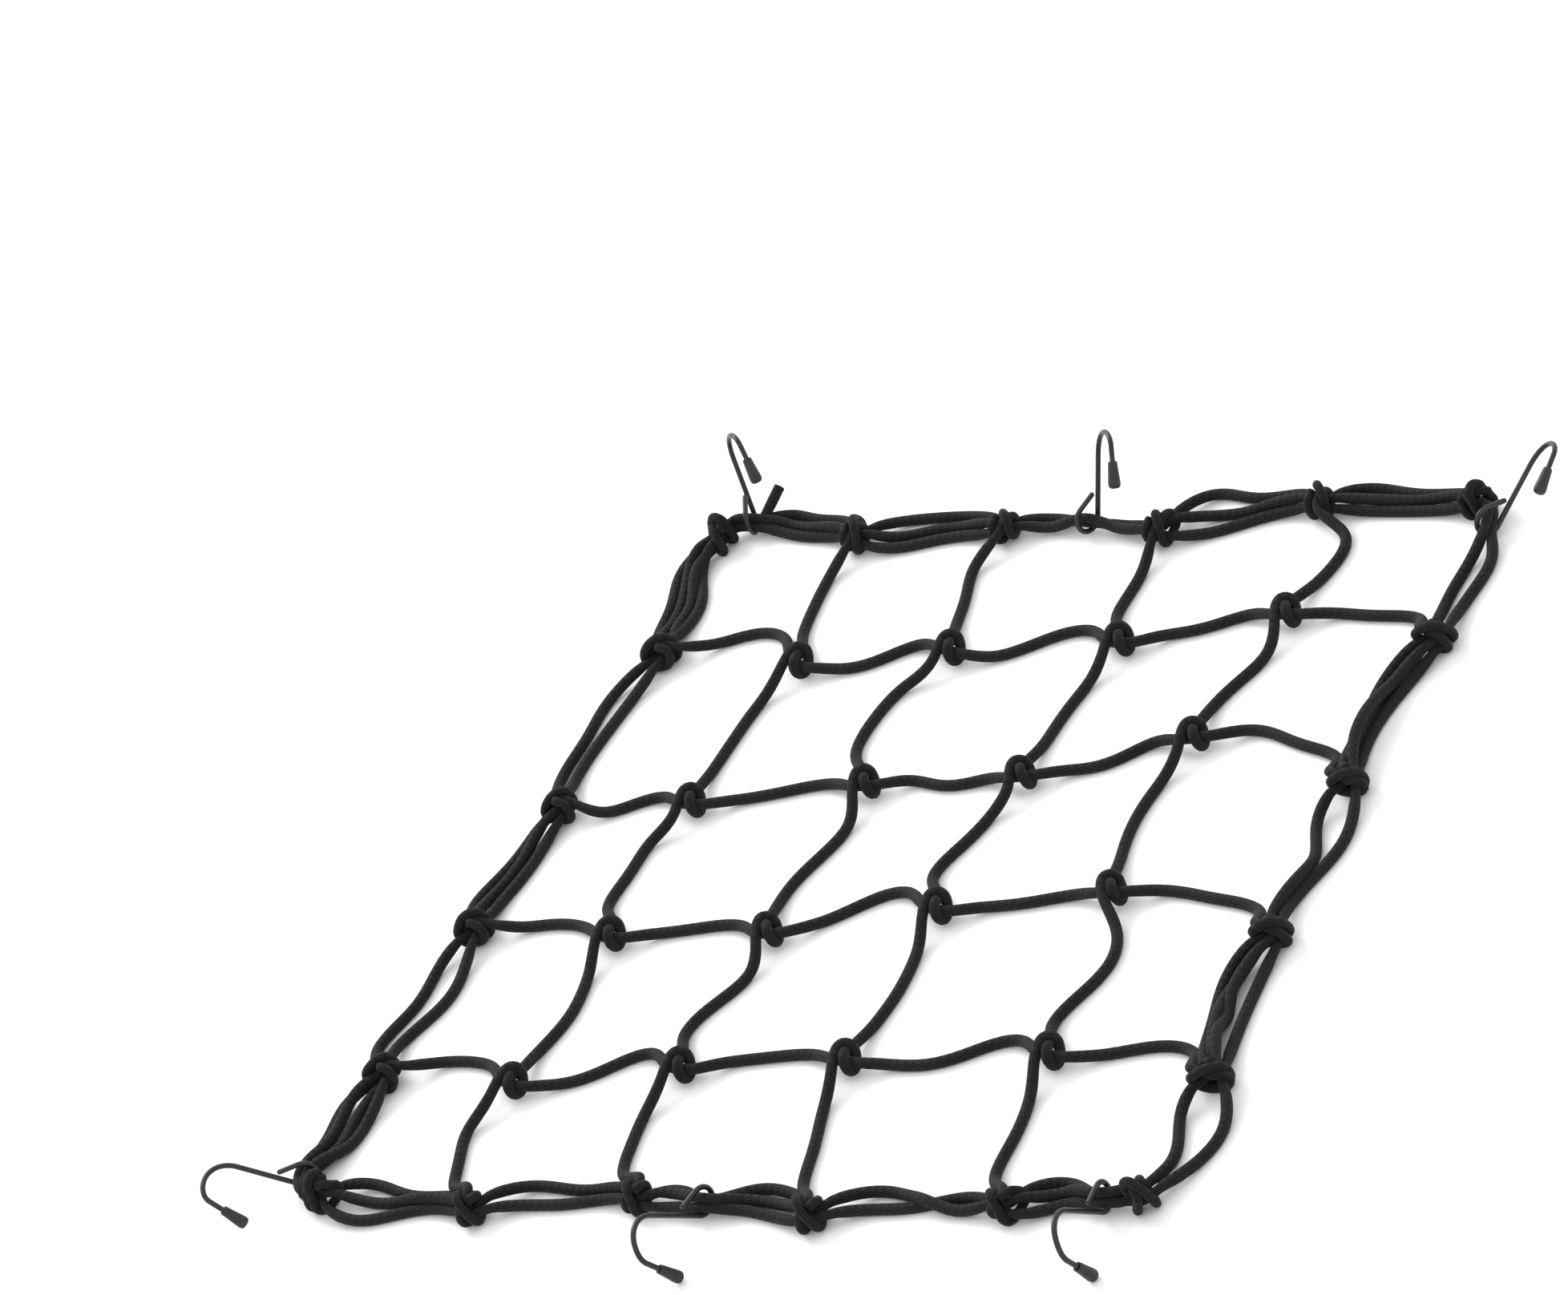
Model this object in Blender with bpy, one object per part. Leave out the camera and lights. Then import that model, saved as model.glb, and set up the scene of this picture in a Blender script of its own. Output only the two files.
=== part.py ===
"""Luggage net: a knotted square net of elastic cord with six wire hooks on its border.

The net lies flat.  Four cords run across and four run up it, tied to each other where they
cross and hitched to a border of two to four cords.  Six bent wire hooks, each with a moulded
cap, hold the border in their eyes.  Lengths are in millimetres until a mesh is made.
X runs along the front border, Y across to the back border, Z up from the surface.
"""

from math import cos, pi, radians, sin, sqrt

import bmesh
import bpy
from mathutils import Matrix, Vector

MM = 0.001

# ---------------------------------------------------------------- driving dimensions
PITCH = 76.0            # one mesh, knot to knot
MESHES = 5              # meshes along each side
CORD_R = 2.5            # cord, centre to corner of its five-sided section, flat side down
CORD_REST = 2.023       # height of its centre where it lies on that flat
SQUEEZE = 0.85          # share of the cord's size left inside a knot, a hitch or an eye
CORD_GAP = 0.25         # room left between border cords, which only join in the hitches
FLATTEN = 4.0           # facets that meet within this many degrees become one
KNOT_HEIGHT = 7.0       # height at which two cords cross inside a knot
BUNDLE_HEIGHT = 7.4     # height of the border cords inside a hitch
FALL = (5.0, 20.0)      # a cord leaves its knot's height and reaches the surface, from the knot
TUCK = 2.5              # a cord's end lies inside its knot, this far from the middle

WIRE_R = 1.1            # hook wire, half its thickness
EYE_R = 6.8             # eye, centre of bundle to centre of wire
EYE_HEIGHT = 8.1        # bundle's centre inside an eye
EYE_TURN = 215.0        # degrees of wire round the bundle
EYE_GAP = 2.7           # eye's free leg ends this far from the shank, centre to centre
SHANK = 25.8            # bundle's centre to the start of the bend
BENDS = ((11.7, 112.0), (5.5, 48.0))     # radius and degrees of the two arcs of the hook
TIP_STRAIGHT = 5.8      # straight wire between the bend and the cap
CAP_LENGTH = 11.0
CAP_DEPTH = 5.0         # wire's length inside the cap
CAP_PROFILE = ((0.0, 2.0), (6.0, 2.5), (9.4, 2.75), (10.6, 2.3), (11.0, 1.3))
SOCKET_R = 1.4

# ---------------------------------------------------------------- where the knots lie
# How far each knot has wandered from the even grid: (right, back), front row last.
KNOT_SHIFT = (
    ((8, 2), (2, -3), (-1, -3), (0, -10), (-5, 1), (-7, -4)),
    ((15, 6), (13, -6), (10, -3), (14, -3), (10, 9), (7, -5)),
    ((9, -8), (0, -11), (5, -4), (2, -2), (-3, 16), (0, -8)),
    ((2, -1), (-2, -10), (-2, -10), (-4, 1), (-3, 8), (1, -13)),
    ((0, -5), (-9, -14), (-8, -7), (-8, -4), (7, -2), (6, -11)),
    ((3, 6), (4, -3), (4, 3), (12, -6), (19, -1), (1, 4)),
)

# How each cord wanders between two knots: (bow, sway, wave), sideways from the straight
# line in one, two and three half waves.  Cords across: left to right, back is positive.
ACROSS = (
    ((19, -3, 0), (3, -6, 2), (7, -7, 0), (6, -2, 2), (11, -2, 2)),
    ((5, -5, 0), (6, -2, 1), (3, 1, 3), (3, -3, 3), (16, 1, 3)),
    ((9, -1, 0), (8, -2, 1), (14, -6, 1), (3, -1, 1), (13, -1, 2)),
    ((14, 0, 1), (8, -7, 2), (8, -1, 1), (5, -6, 3), (13, -4, 0)),
)
# Cords up the net: back to front, right is positive.
UPWARD = (
    ((-9, 0, -1), (-8, -1, -1), (-16, 1, -3), (1, 0, -2), (-19, -1, -3)),
    ((-9, -2, -2), (-22, 1, -2), (-4, 5, 0), (-7, 7, 0), (-16, 1, -2)),
    ((-7, 3, -1), (-5, 0, 0), (-13, 5, -2), (1, 0, -1), (-10, 1, -2)),
    ((14, 4, 0), (-2, 4, 0), (-10, 0, 0), (4, 7, -3), (-9, 3, -2)),
)
# Border cords, one row for each mesh of a side and one entry for each cord: outward is
# positive, outermost cord first; left and right sides run back to front, the others left to
# right.
BORDER = {
    "left": (
        ((16, 2, 4), (10, 2, 3), (4, 2, 2), (0, 3, 3)),
        ((20, 1, 4), (9, -1, 1)),
        ((14, -3, 3), (8, -2, 2), (1, -1, 1)),
        ((16, -3, 5), (1, -5, 3)),
        ((21, -1, 5), (16, -1, 4), (9, 0, 2), (2, -1, 0)),
    ),
    "right": (
        ((10, 4, 0), (-1, 4, 0)),
        ((-4, 2, 1), (-9, 0, -1), (-13, -2, -2), (-18, -2, -4)),
        ((3, 5, -1), (-6, -2, -5)),
        ((-2, 0, 0), (-8, 0, -1), (-13, 0, 0), (-19, -2, -4)),
        ((14, 2, 0), (-4, -5, -2)),
    ),
    "back": (
        ((20, 4, 5), (11, 3, 2), (6, 2, 2)),
        ((15, 0, 2), (5, -2, -1), (-2, -3, -1)),
        ((10, 2, 1), (3, 1, 1)),
        ((20, 5, 5), (8, 1, 2), (0, -3, 0)),
        ((12, 2, 3), (4, -1, 1), (-1, 0, 0)),
    ),
    "front": (
        ((3, 6, 1), (-4, 2, -1), (-11, -1, -4)),
        ((-6, 0, -2), (-15, -3, -3)),
        ((-3, 0, 1), (-10, 0, -1), (-17, 1, -2)),
        ((-9, 2, -3), (-11, -7, -2)),
        ((-5, 3, 1), (-12, 4, -2), (-16, -1, -3)),
    ),
}
# Where two, three or four border cords lie in a hitch or an eye: (outward, up).
BUNDLE = {
    2: ((0.0, -3.0), (0.0, 1.5)),
    3: ((2.4, -1.6), (0.0, 2.5), (-2.4, -1.6)),
    4: ((2.3, -2.2), (2.3, 2.1), (-2.3, -2.2), (-2.3, 2.1)),
}
STATIONS = (0.0, 0.18, 0.38, 0.62, 0.82, 1.0)

# ---------------------------------------------------------------- knots and hitches
# Sections of a knot and of a hitch: (along, half width, half height, up).
KNOT_SIDES = 7
CORNER = 0.85           # size of a corner's hitch beside the others
KNOT_BODY = (
    (-5.6, 4.6, 4.0, 7.8), (-2.8, 6.4, 5.4, 7.4), (0.4, 5.4, 4.6, 7.0), (4.0, 7.0, 6.0, 6.7),
    (8.0, 5.8, 4.8, 5.8), (11.4, 3.2, 2.6, 4.8),
)
HITCH_BODY = (
    (-6.6, 6.0, 5.6, 7.4), (-3.8, 7.5, 6.7, 7.4), (0.0, 6.0, 5.6, 7.4), (3.8, 7.5, 6.7, 7.4),
    (6.6, 6.0, 5.6, 7.4),
)
# Direction of each inner knot's length, in degrees from the right.
KNOT_TURN = (
    (-35, -60, -40, -25),
    (-55, -45, -30, -65),
    (-45, -30, -60, -20),
    (-25, -55, -35, -50),
)
# The border's cut end stands up at the back left corner.
TAIL = ((-162.0, 196.5, 6.6), (-160.5, 202.5, 8.2), (-157.5, 211.5, 12.0))

# ---------------------------------------------------------------- hooks
# name: side, mesh of that side, part of the way along it and how far outward its eye sits,
# then degrees: the shank's heading and rise, and the turn of the bend about the shank.
HOOKS = {
    "front_left": ("left", 4, 0.830, 12.8, -157, 43, -14),
    "front_middle": ("front", 2, 0.366, -2.6, -105, 46, -59),
    "front_right": ("front", 4, 0.716, -1.6, -88, 48, -73),
    "back_left": ("back", 0, 0.170, 7.4, 108, 68, 125),
    "back_middle": ("back", 2, 0.512, 4.0, 69, 58, 155),
    "back_right": ("right", 0, 0.178, 7.0, 60, 28, 158),
}
EYE_HOLD = (5.5, 16.0)           # cords are drawn together this far each side of an eye


def clear_scene():
    """Remove every object that a new file starts with."""
    for thing in list(bpy.data.objects):
        bpy.data.objects.remove(thing, do_unlink=True)


def material(name, colour, roughness, metallic):
    """A Principled material with one colour."""
    mat = bpy.data.materials.new(name)
    mat.use_nodes = True
    shader = mat.node_tree.nodes["Principled BSDF"]
    shader.inputs["Base Color"].default_value = (*colour, 1.0)
    shader.inputs["Roughness"].default_value = roughness
    shader.inputs["Metallic"].default_value = metallic
    return mat


def ease(value):
    """Smooth step from 0 to 1."""
    value = min(1.0, max(0.0, value))
    return value * value * (3.0 - 2.0 * value)


def knot_place(row, col):
    """Middle of a hitch on the border, or a knot's crossing point; row 0 is at the back."""
    half = MESHES * PITCH / 2
    right, back = KNOT_SHIFT[row][col]
    inside = 0 < row < MESHES and 0 < col < MESHES
    lean = -1.0 if inside else 3.0
    return Vector((col * PITCH - half + right + lean, half - row * PITCH + back - lean, 0.0))


def wander(modes, t):
    """Sideways distance of a cord from its straight line, t of the way along it."""
    return sum(size * sin((i + 1) * pi * t) for i, size in enumerate(modes))


def side_ends(side, span):
    """The two knots of one mesh of a side, and that side's outward direction."""
    last = MESHES
    ends = {
        "left": (knot_place(span, 0), knot_place(span + 1, 0), Vector((-1, 0, 0))),
        "right": (knot_place(span, last), knot_place(span + 1, last), Vector((1, 0, 0))),
        "back": (knot_place(0, span), knot_place(0, span + 1), Vector((0, 1, 0))),
        "front": (knot_place(last, span), knot_place(last, span + 1), Vector((0, -1, 0))),
    }
    return ends[side]


def sideways(start, end, outward):
    """Level direction square to a chord, on its outward side."""
    across = (end - start).cross(Vector((0, 0, 1))).normalized()
    return across if across.dot(outward) > 0 else -across


def mesh_cord(start, end, outward, modes):
    """Points of one cord of the net between two crossings."""
    across = sideways(start, end, outward)
    length = (end - start).length
    points = []
    sizes = []
    for t in tucked(STATIONS, length):
        drop = fall(t, length)
        point = start.lerp(end, t) + across * wander(modes, t)
        point.z = KNOT_HEIGHT + (CORD_REST - KNOT_HEIGHT) * drop
        points.append(point)
        sizes.append(CORD_R * (SQUEEZE + (1 - SQUEEZE) * drop))
    return points, sizes


def tucked(stations, length):
    """The same stations, with the first and last just inside the two knots."""
    return [TUCK / length, *stations[1:-1], 1 - TUCK / length]


def fall(t, length):
    """0 at a knot's height, 1 where the cord lies on the surface."""
    near = min(t, 1 - t) * length
    return ease((near - FALL[0]) / (FALL[1] - FALL[0]))


def clear_height(gap):
    """How far apart in height two cords lie whose centres are this far apart sideways."""
    wide = 1.9 * CORD_R + CORD_GAP
    tall = 1.81 * CORD_R + CORD_GAP
    return 0.0 if gap >= wide else min(tall, (wide - gap) * 2.0)


def eye_on(side, span):
    """Part of the way along and distance outward of the eye on a mesh of a side, or None."""
    for place in HOOKS.values():
        if place[:2] == (side, span):
            return place[2:4]
    return None


def border_cords(side, span):
    """Points of every cord of one mesh of a side, drawn together in hitches and eyes."""
    start, end, outward = side_ends(side, span)
    across = sideways(start, end, outward)
    length = (end - start).length
    cords = BORDER[side][span]
    eye, middle = eye_on(side, span) or (9.0, 0.0)
    stations = list(STATIONS)
    if eye < 1.0:
        grip = EYE_HOLD[0] / length
        stations = [t for t in stations if abs(t - eye) > 1.6 * grip or t in (0.0, 1.0)]
        stations = sorted(stations + [eye - grip, eye + grip])
    paths = [([], []) for _ in cords]
    for t in tucked(stations, length):
        drop = fall(t, length)
        hold = 1 - ease((abs(t - eye) * length - EYE_HOLD[0]) / (EYE_HOLD[1] - EYE_HOLD[0]))
        laid = []
        for (points, sizes), modes, (out, up) in zip(paths, cords, BUNDLE[len(cords)]):
            spread = wander(modes, t)
            height = CORD_REST
            for other, other_height in sorted(laid, key=lambda cord: cord[1]):
                apart = clear_height(abs(other - spread))
                if abs(height - other_height) < apart:
                    height = other_height + apart
            laid.append((spread, height))
            spread += out * (1 - drop)
            height = (BUNDLE_HEIGHT + up) * (1 - drop) + height * drop
            spread = spread * (1 - hold) + (middle + out) * hold
            height = height * (1 - hold) + (EYE_HEIGHT + up) * hold
            point = start.lerp(end, t) + across * spread
            point.z = height
            points.append(point)
            sizes.append(CORD_R * (SQUEEZE + (1 - SQUEEZE) * min(drop, 1 - hold)))
    return paths


def eye_place(side, span):
    """Centre of the bundle inside a hook's eye."""
    start, end, outward = side_ends(side, span)
    t, middle = eye_on(side, span)
    point = start.lerp(end, t) + sideways(start, end, outward) * middle
    point.z = EYE_HEIGHT
    return point


def ring(bm, centre, one, two, sides, first=0.0):
    """Corners of a section whose two half sizes are the lengths of two directions."""
    corners = []
    for i in range(sides):
        angle = 2 * pi * i / sides + first
        corners.append(bm.verts.new((centre + one * cos(angle) + two * sin(angle)) * MM))
    return corners


def skin(bm, rings):
    """Faces between sections in turn, with flat ends."""
    for first, second in zip(rings, rings[1:]):
        for i in range(len(first)):
            j = (i + 1) % len(first)
            bm.faces.new((first[i], first[j], second[j], second[i]))
    bm.faces.new(rings[0][::-1])
    bm.faces.new(rings[-1])


def directions(points):
    """Unit direction of a path at each of its points."""
    ends = zip([points[0], *points[:-1]], [*points[1:], points[-1]])
    return [(after - before).normalized() for before, after in ends]


def level_tube(points, sizes):
    """Five-sided cord with upright sections, its flat side down."""
    bm = bmesh.new()
    up = Vector((0, 0, 1))
    rings = []
    for point, size, along in zip(points, sizes, directions(points)):
        across = along.cross(up).normalized()
        rings.append(ring(bm, point, across * size, up * size, 5, pi / 2))
    skin(bm, rings)
    return bm


def turned_tube(points, radius, sides=6):
    """Tube whose sections turn as little as they can along a path."""
    bm = bmesh.new()
    ways = directions(points)
    across = ways[0].orthogonal().normalized()
    rings = []
    for point, along in zip(points, ways):
        across = (across - along * across.dot(along)).normalized()
        rings.append(ring(bm, point, across * radius, along.cross(across) * radius, sides))
    skin(bm, rings)
    return bm


def finish(bm, name, mat=None, guide=None):
    """Turn a bmesh into an object, either shown or kept as a hidden guide."""
    bmesh.ops.recalc_face_normals(bm, faces=bm.faces)
    mesh = bpy.data.meshes.new(name)
    bm.to_mesh(mesh)
    bm.free()
    thing = bpy.data.objects.new(name, mesh)
    if guide is None:
        bpy.context.scene.collection.objects.link(thing)
        mesh.materials.append(mat)
    else:
        guide.objects.link(thing)
        thing.hide_render = True
        thing.display_type = "WIRE"
    return thing


def ridged_body(centre, along, sections):
    """A knot as one lump with a ridge wherever a turn of cord shows."""
    bm = bmesh.new()
    up = Vector((0, 0, 1))
    across = along.cross(up)
    rings = []
    for place, wide, high, lift in sections:
        spot = centre + along * place + up * lift
        rings.append(ring(bm, spot, across * wide, up * high, KNOT_SIDES, pi / 2))
    skin(bm, rings)
    return bm


def knot(row, col):
    """The lump of one crossing: along the border, or slanting inside the net."""
    centre = knot_place(row, col)
    last = MESHES
    if 0 < row < last and 0 < col < last:
        heading = radians(KNOT_TURN[row - 1][col - 1])
        return ridged_body(centre, Vector((cos(heading), sin(heading), 0)), KNOT_BODY)
    along = Vector((0, 1, 0)) if col in (0, last) else Vector((1, 0, 0))
    if row in (0, last) and col in (0, last):
        along = Vector((1, 1 if (row == 0) == (col == 0) else -1, 0)).normalized() * CORNER
    return ridged_body(centre, along, HITCH_BODY)


def net_tubes():
    """Every cord, knot and hitch of the net as its own closed tube."""
    tubes = []
    last = MESHES
    for row in range(1, last):
        for span in range(last):
            ends = knot_place(row, span), knot_place(row, span + 1)
            cord = mesh_cord(*ends, Vector((0, 1, 0)), ACROSS[row - 1][span])
            tubes.append(level_tube(*cord))
    for col in range(1, last):
        for span in range(last):
            ends = knot_place(span, col), knot_place(span + 1, col)
            cord = mesh_cord(*ends, Vector((1, 0, 0)), UPWARD[col - 1][span])
            tubes.append(level_tube(*cord))
    for side in BORDER:
        for span in range(last):
            tubes += [level_tube(*cord) for cord in border_cords(side, span)]
    tubes += [knot(row, col) for row in range(last + 1) for col in range(last + 1)]
    tubes.append(turned_tube([Vector(point) for point in TAIL], CORD_REST))
    return tubes


def make_net(mat):
    """Fuse the tubes into one body and keep only its outer skin."""
    guides = bpy.data.collections.new("cords")
    bpy.context.scene.collection.children.link(guides)
    tubes = net_tubes()
    net = finish(tubes[0], "net", mat)
    for number, bm in enumerate(tubes[1:], start=1):
        finish(bm, "cord_%03d" % number, guide=guides)
    fuse = net.modifiers.new("fuse", "BOOLEAN")
    fuse.operation = "UNION"
    fuse.operand_type = "COLLECTION"
    fuse.collection = guides
    fuse.solver = "EXACT"
    bpy.context.view_layer.update()
    depsgraph = bpy.context.evaluated_depsgraph_get()
    fused = bpy.data.meshes.new_from_object(net.evaluated_get(depsgraph))
    net.modifiers.clear()
    for guide in list(guides.objects):
        bpy.data.objects.remove(guide, do_unlink=True)
    bpy.data.collections.remove(guides)
    bm = bmesh.new()
    bm.from_mesh(fused)
    bmesh.ops.dissolve_limit(
        bm, angle_limit=radians(FLATTEN), use_dissolve_boundaries=False,
        verts=bm.verts, edges=bm.edges)
    bmesh.ops.triangulate(bm, faces=bm.faces)
    drop_inner_shells(bm)
    bm.to_mesh(net.data)
    bm.free()
    return net


def drop_inner_shells(bm):
    """Delete the skins of hollows that are shut in between cords."""
    left = set(bm.verts)
    shells = []
    while left:
        seed = left.pop()
        shell = {seed}
        queue = [seed]
        while queue:
            for edge in queue.pop().link_edges:
                for vert in edge.verts:
                    if vert in left:
                        left.discard(vert)
                        shell.add(vert)
                        queue.append(vert)
        shells.append(shell)
    shells.sort(key=len)
    for shell in shells[:-1]:
        bmesh.ops.delete(bm, geom=list(shell), context="VERTS")


def hook_axes(heading, rise, turn):
    """Directions of a hook: along its shank, outward below it, and of its bend."""
    level = Vector((cos(radians(heading)), sin(radians(heading)), 0))
    up = Vector((0, 0, 1))
    along = level * cos(radians(rise)) + up * sin(radians(rise))
    below = level * sin(radians(rise)) - up * cos(radians(rise))
    beside = up.cross(level)
    bend = beside * cos(radians(turn)) - below * sin(radians(turn))
    return along, below, bend


def hook_path(centre, heading, rise, turn):
    """Centre line of a hook's wire from the eye's free leg to the cap's mouth."""
    along, below, bend = hook_axes(heading, rise, turn)
    over = EYE_TURN - 180.0
    free = (EYE_R * (1 + cos(radians(over))) - EYE_GAP) / sin(radians(over))
    leave = along * sin(radians(over)) - below * cos(radians(over))
    tangent = along * cos(radians(over)) + below * sin(radians(over))
    points = [centre + leave * EYE_R + tangent * free]
    steps = 7
    for i in range(steps + 1):
        angle = radians(EYE_TURN * (1 - i / steps))
        points.append(centre + below * (EYE_R * cos(angle)) - along * (EYE_R * sin(angle)))
    corner = centre + below * EYE_R + along * SHANK
    points.append(corner)
    here = corner
    turned = 0.0
    for radius, degrees in BENDS:
        steps = round(degrees / 18)
        for i in range(1, steps + 1):
            old = radians(turned + degrees * (i - 1) / steps)
            new = radians(turned + degrees * i / steps)
            here = here + along * (radius * (sin(new) - sin(old)))
            here = here + bend * (radius * (cos(old) - cos(new)))
            points.append(here)
        turned += degrees
    tip = along * cos(radians(turned)) + bend * sin(radians(turned))
    return points, points[-1] + tip * TIP_STRAIGHT, tip


def make_hook(name, mats):
    """One bent wire with its eye round the border, and the cap on its end."""
    side, span = HOOKS[name][:2]
    points, mouth, tip = hook_path(eye_place(side, span), *HOOKS[name][4:])
    points.append(mouth + tip * CAP_DEPTH)
    wire = finish(turned_tube(points, WIRE_R), "hook_wire_" + name, mats[0])
    bm = bmesh.new()
    across = tip.orthogonal().normalized()
    other = tip.cross(across)
    socket = ((0.0, SOCKET_R), (CAP_DEPTH + 0.3, SOCKET_R))
    profile = CAP_PROFILE[::-1] + socket
    skin(bm, [ring(bm, mouth + tip * x, across * r, other * r, 8) for x, r in profile])
    cap = finish(bm, "hook_cap_" + name, mats[1])
    return [wire, cap]


def centre_on_surface(things):
    """Move every mesh so the whole stands centred over the origin, on the surface."""
    spots = [vert.co for thing in things for vert in thing.data.vertices]
    low = Vector(min(spot[i] for spot in spots) for i in range(3))
    high = Vector(max(spot[i] for spot in spots) for i in range(3))
    move = Vector((-(low.x + high.x) / 2, -(low.y + high.y) / 2, -low.z))
    for thing in things:
        thing.data.transform(Matrix.Translation(move))
    print("moved by", [round(value / MM, 3) for value in move])
    print("size", [round(value / MM, 2) for value in high - low])


def main():
    clear_scene()
    cord = material("black_elastic_cord", (0.018, 0.017, 0.018), 0.75, 0.0)
    wire = material("black_coated_wire", (0.03, 0.03, 0.032), 0.4, 0.6)
    cap = material("black_moulded_cap", (0.02, 0.02, 0.021), 0.5, 0.0)
    things = [make_net(cord)]
    for name in HOOKS:
        things += make_hook(name, (wire, cap))
    centre_on_surface(things)


main()
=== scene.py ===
# %% [markdown]
# # A luggage net of elastic cord
#
# The net is one square of knotted elastic cord with six wire hooks. Four cords run across it
# and four run up it, tied where they cross and hitched to a border of two to four loose cords.
# The packed model already says where everything lies. This lesson dresses it: every cord gets
# its real round, braided body and every knot its real turns of cord, and the hooks get smooth
# bent wire and moulded caps. The model is loaded first, as a frame that nothing here moves.

# %% Load the frame
from math import atan2, cos, degrees, pi, radians, sin, sqrt

import bmesh
import bpy
import numpy as np
from mathutils import Matrix, Vector


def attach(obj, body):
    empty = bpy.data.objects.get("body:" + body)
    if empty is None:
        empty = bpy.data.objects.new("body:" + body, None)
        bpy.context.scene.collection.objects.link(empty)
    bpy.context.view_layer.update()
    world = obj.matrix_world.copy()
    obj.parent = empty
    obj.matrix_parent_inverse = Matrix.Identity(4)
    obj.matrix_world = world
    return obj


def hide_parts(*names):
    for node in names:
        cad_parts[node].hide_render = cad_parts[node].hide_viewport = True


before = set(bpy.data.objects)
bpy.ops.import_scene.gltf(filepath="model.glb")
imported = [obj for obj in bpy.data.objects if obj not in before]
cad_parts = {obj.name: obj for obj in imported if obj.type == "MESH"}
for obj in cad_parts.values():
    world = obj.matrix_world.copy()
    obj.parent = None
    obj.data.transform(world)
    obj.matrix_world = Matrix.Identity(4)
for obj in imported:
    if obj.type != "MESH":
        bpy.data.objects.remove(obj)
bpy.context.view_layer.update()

MM = 0.001
print("nodes:", sorted(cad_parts))

# %% [markdown]
# ## The plan of the net
#
# A hand-tied net never lies square: each knot has wandered a few millimetres from an even
# grid, and each cord bows and sways between its knots. Both could be drawn by hand as long
# point lists. It is clearer to keep one small table of shifts for the knots and one of waves
# for the cords, because then every cord comes from the same short rule.

# %% Sizes of the cord and the grid
PITCH = 76.0            # one mesh, knot to knot
MESHES = 5              # meshes along each side
ORIGIN = np.array((-0.433, 10.130, 0.0))     # middle of the even grid, in the frame
CORD_R = 2.3            # elastic cord lying free, centre to surface
PULLED = 0.94           # share of its size where it is pulled tight inside a knot
PACKED = 0.80           # and inside a hitch or a hook's eye
KNOT_HEIGHT = 6.6       # height at which two cords cross inside a knot
BUNDLE_HEIGHT = 6.0     # height of the border cords inside a hitch
FALL = (5.0, 20.0)      # a cord starts to sink, and is down, this far from a knot
REACH = 17.0            # a knot's own stretch of cord ends this far from its middle
KNOT_LEAN = -1.0        # a knot lies this much to the right and front of its wandered place
HITCH_LEAN = 3.0        # and a hitch on the border this much
print("cord:", 2 * CORD_R, "mm thick, net:", PITCH * MESHES, "mm square between corners")

# %% Where the knots have wandered to: (right, back), back row first
KNOT_SHIFT = (
    ((8, 2), (2, -3), (-1, -3), (0, -10), (-5, 1), (-7, -4)),
    ((15, 6), (13, -6), (10, -3), (14, -3), (10, 9), (7, -5)),
    ((9, -8), (0, -11), (5, -4), (2, -2), (-3, 16), (0, -8)),
    ((2, -1), (-2, -10), (-2, -10), (-4, 1), (-3, 8), (1, -13)),
    ((0, -5), (-9, -14), (-8, -7), (-8, -4), (7, -2), (6, -11)),
    ((3, 6), (4, -3), (4, 3), (12, -6), (19, -1), (1, 4)),
)
# How far each inner knot has rolled round on the surface, in degrees.
KNOT_TURN = (
    (25, 35, 20, 35),
    (30, 20, 35, 15),
    (10, 35, 25, 35),
    (12, 15, 32, 25),
)
print("knots:", (MESHES + 1) ** 2)

# %% How each cord wanders between its knots: (bow, sway, wave)
# Cords across: left to right, back is positive.
ACROSS = (
    ((19, -3, 0), (3, -6, 2), (7, -7, 0), (6, -2, 2), (11, -2, 2)),
    ((5, -5, 0), (6, -2, 1), (3, 1, 3), (3, -3, 3), (16, 1, 3)),
    ((9, -1, 0), (8, -2, 1), (14, -6, 1), (3, -1, 1), (13, -1, 2)),
    ((14, 0, 1), (8, -7, 2), (8, -1, 1), (5, -6, 3), (13, -4, 0)),
)
# Cords up the net: back to front, right is positive.
UPWARD = (
    ((-9, 0, -1), (-8, -1, -1), (-16, 1, -3), (1, 0, -2), (-19, -1, -3)),
    ((-9, -2, -2), (-22, 1, -2), (-4, 5, 0), (-7, 7, 0), (-16, 1, -2)),
    ((-7, 3, -1), (-5, 0, 0), (-13, 5, -2), (1, 0, -1), (-10, 1, -2)),
    ((14, 4, 0), (-2, 4, 0), (-10, 0, 0), (4, 7, -3), (-9, 3, -2)),
)
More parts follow.
